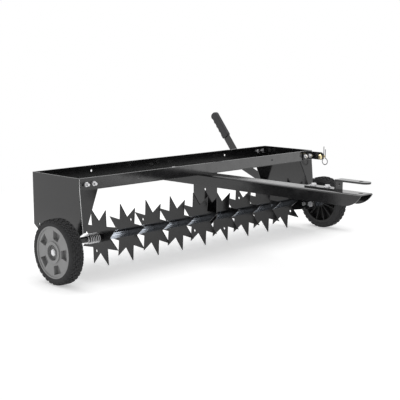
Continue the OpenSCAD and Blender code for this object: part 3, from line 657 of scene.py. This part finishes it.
def build_world():
    """An even white room: full white where it is seen or mirrored, softer as a light."""
    world = bpy.data.worlds.new("Studio")
    bpy.context.scene.world = world
    world.use_nodes = True
    tree = world.node_tree
    background = tree.nodes["Background"]
    background.inputs["Color"].default_value = (1, 1, 1, 1)
    path = node_of(tree, "ShaderNodeLightPath")
    seen = node_of(tree, "ShaderNodeMath", operation="MAXIMUM")
    tree.links.new(path.outputs["Is Camera Ray"], seen.inputs[0])
    tree.links.new(path.outputs["Is Glossy Ray"], seen.inputs[1])
    strength = spread(tree, seen.outputs[0], settings().studio.fill, 1.0)
    tree.links.new(strength, background.inputs["Strength"])


def fade_to_white(tree, shader, fade):
    """Between the two distances of fade the floor turns into the same white as the room."""
    coord = node_of(tree, "ShaderNodeTexCoord")
    away = node_of(tree, "ShaderNodeVectorMath", operation="LENGTH")
    ramp = node_of(tree, "ShaderNodeMapRange", interpolation_type="SMOOTHSTEP")
    ramp.inputs["From Min"].default_value, ramp.inputs["From Max"].default_value = fade
    white = node_of(tree, "ShaderNodeEmission")
    mix = node_of(tree, "ShaderNodeMixShader")
    tree.links.new(coord.outputs["Object"], away.inputs[0])
    tree.links.new(away.outputs["Value"], ramp.inputs["Value"])
    tree.links.new(ramp.outputs["Result"], mix.inputs["Fac"])
    tree.links.new(shader.outputs["BSDF"], mix.inputs[1])
    tree.links.new(white.outputs["Emission"], mix.inputs[2])
    tree.links.new(mix.outputs["Shader"], tree.nodes["Material Output"].inputs["Surface"])


def build_floor():
    """A matt floor just under the wheels, lost in the white of the room."""
    studio = settings().studio
    deselect()
    bpy.ops.mesh.primitive_plane_add(size=60, location=(0, 0, -0.5 * MM))
    floor = bpy.context.active_object
    floor.name = "Studio floor"
    material = bpy.data.materials.new("Studio floor")
    material.use_nodes = True
    shader = material.node_tree.nodes["Principled BSDF"]
    shader.inputs["Base Color"].default_value = (*studio.floor_colour, 1)
    shader.inputs["Roughness"].default_value = 1.0
    shader.inputs["Specular IOR Level"].default_value = 0.0
    shader.inputs["Emission Color"].default_value = (1, 1, 1, 1)
    shader.inputs["Emission Strength"].default_value = studio.floor_glow
    fade_to_white(material.node_tree, shader, fade=(0.9, 1.6))
    floor.data.materials.append(material)


def area_lamp(name, place, aim, size, power):
    """A rectangular lamp at a place, turned to face another."""
    deselect()
    turn = (Vector(aim) - Vector(place)).to_track_quat("-Z", "Y").to_euler()
    bpy.ops.object.light_add(type="AREA", location=place, rotation=turn)
    lamp = bpy.context.active_object
    lamp.name = name
    lamp.data.shape = "RECTANGLE"
    lamp.data.size, lamp.data.size_y = size
    lamp.data.energy = power
    return lamp


def build_lamps():
    """One wide soft lamp above, and three that only some pieces mirror, which have to be there already."""
    studio = settings().studio
    area_lamp("Key lamp", (0.1, 1.0, 2.6), (0.1, 0.0, 0.0), (2.6, 1.6), studio.key)
    mirrored = (
        # Name, place, aim, size, power, and how the names of the pieces that mirror it start
        ("Bend lamp", (-1.75, -1.75, 0.4), (0.0, 0.0, 0.3), (1.7, 1.0), studio.bend_lamp,
         ("left_end_plate",)),
        ("Rail lamp", (1.8, -1.5, 0.01), (1.8, -1.5, 1.0), (2.0, 1.2), studio.rail_lamp,
         ("tray_front_wall", "tongue", "spacer", "end_spacer")),
        ("Rim lamp", (2.6, -0.6, 2.7), (0.0, 0.0, 0.25), (1.6, 1.6), studio.rim_lamp,
         ("tray_front_wall", "tray_rear_wall", "left_end_plate", "right_end_plate", "tongue", "hitch_strap")))
    for name, place, aim, size, power, mirroring in mirrored:
        lamp = area_lamp(name, place, aim, size, power)
        lamp.visible_diffuse = False
        lamp.visible_camera = False
        receivers = bpy.data.collections.new(name + " receivers")
        for piece in bpy.data.objects:
            if piece.name.startswith(mirroring):
                receivers.objects.link(piece)
        lamp.light_linking.receiver_collection = receivers


# Operators

class AERATOR_OT_stage(bpy.types.Operator):
    """Camera, room, floor and lamps of the catalogue view"""
    bl_idname = "aerator.stage"
    bl_label = "Studio"

    def execute(self, context):
        build_camera()
        build_world()
        build_floor()
        build_lamps()
        return {"FINISHED"}


class AERATOR_OT_finishes(bpy.types.Operator):
    """Build the finishes and paint the CAD nodes that stay"""
    bl_idname = "aerator.finishes"
    bl_label = "Finishes"

    def execute(self, context):
        build_finishes()
        for node in frame["nodes"]:
            paint_node(node)
        return {"FINISHED"}


class AERATOR_OT_sheet_metal(bpy.types.Operator):
    """Round the edges of the sheet pieces, cranks, lever and shaft"""
    bl_idname = "aerator.sheet_metal"
    bl_label = "Sheet metal"

    def execute(self, context):
        shape = settings().shape
        for node in ("tray_floor", "tray_front_wall", "tray_rear_wall", "tongue", "hitch_strap", "shaft_hanger",
                     "latch_bracket", "left_crank", "right_crank", "lever_bar", "star_shaft"):
            rounded(node, shape.sheet_edge)
        plate_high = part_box("right_end_plate")[1]
        stop_low, stop_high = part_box("stop_bolts")
        # A cut through each hole's middle keeps the flats free of faces that fold round a hole
        cuts = (SHAFT.y, (stop_low.y + stop_high.y) / 2, plate_high.y - SPARE_HOLE_IN)
        shortest_bend = 30 * MM

        def on_bend(first, second):
            """Whether an edge stands nearly upright on the plates' outer face."""
            rise = abs(first.z - second.z)
            outside = min(abs(first.x), abs(second.x)) > plate_high.x - 0.1 * MM
            return outside and rise > shortest_bend and abs(first.y - second.y) < 0.1 * rise

        for node in ("left_end_plate", "right_end_plate"):
            rounded(node, shape.sheet_edge, shape.bend, on_bend, cuts)
        return {"FINISHED"}


class AERATOR_OT_stars(bpy.types.Operator):
    """Round the edges of the star wheels"""
    bl_idname = "aerator.stars"
    bl_label = "Stars"

    def execute(self, context):
        for node in STARS:
            rounded(node, settings().shape.star_edge)
        return {"FINISHED"}


class AERATOR_OT_fasteners(bpy.types.Operator):
    """Round the bolts, nuts, washers, bushes and tubes"""
    bl_idname = "aerator.fasteners"
    bl_label = "Fasteners and tubes"

    def execute(self, context):
        endings = ("_bolts", "_nuts", "_washers", "_washer", "_bushes", "_sleeves", "_spindles", "_pin")
        for node in sorted(node for node in frame["nodes"] if node.endswith(endings)) + SPACERS:
            rounded(node, settings().shape.bolt_edge)
        return {"FINISHED"}


class AERATOR_OT_wires(bpy.types.Operator):
    """Wind the coil spring and bend the latch clip"""
    bl_idname = "aerator.wires"
    bl_label = "Spring and clip"

    def execute(self, context):
        build_spring()
        build_clip()
        return {"FINISHED"}


class AERATOR_OT_wheels(bpy.types.Operator):
    """Mould the hubs and tyres"""
    bl_idname = "aerator.wheels"
    bl_label = "Wheels"

    def execute(self, context):
        for side in ("left", "right"):
            rounded(side + "_hub", settings().shape.hub_edge)
            build_tyre(side)
        return {"FINISHED"}


class AERATOR_OT_grip(bpy.types.Operator):
    """Mould the lever's grip"""
    bl_idname = "aerator.grip"
    bl_label = "Grip"

    def execute(self, context):
        build_grip()
        return {"FINISHED"}


PIECE_OPERATORS = (AERATOR_OT_finishes, AERATOR_OT_sheet_metal, AERATOR_OT_stars, AERATOR_OT_fasteners,
                   AERATOR_OT_wires, AERATOR_OT_wheels, AERATOR_OT_grip)


class AERATOR_PT_panel(bpy.types.Panel):
    """The aerator's steps and sizes"""
    bl_idname = "AERATOR_PT_panel"
    bl_label = "Lawn aerator"
    bl_space_type = "VIEW_3D"
    bl_region_type = "UI"
    bl_category = "Aerator"

    def draw(self, context):
        for operator in PIECE_OPERATORS + (AERATOR_OT_stage,):
            self.layout.operator(operator.bl_idname)
        values = context.scene.aerator
        for group in (values.camera, values.studio, values.shape, values.finish):
            for name in group.bl_rna.properties.keys():
                if name not in ("rna_type", "name"):
                    self.layout.prop(group, name)


CLASSES = ((CameraSettings, StudioSettings, ShapeSettings, FinishSettings, AeratorSettings)
           + PIECE_OPERATORS + (AERATOR_OT_stage, AERATOR_PT_panel))


def register():
    for item in CLASSES:
        bpy.utils.register_class(item)
    bpy.types.Scene.aerator = bpy.props.PointerProperty(type=AeratorSettings)


def unregister():
    del bpy.types.Scene.aerator
    for item in reversed(CLASSES):
        bpy.utils.unregister_class(item)


def main():
    register()
    bpy.context.scene.view_settings.view_transform = "Standard"
    bpy.ops.aerator.finishes()
    bpy.ops.aerator.sheet_metal()
    bpy.ops.aerator.stars()
    bpy.ops.aerator.fasteners()
    bpy.ops.aerator.wires()
    bpy.ops.aerator.wheels()
    bpy.ops.aerator.grip()
    bpy.ops.aerator.stage()


if __name__ == "__main__":
    main()
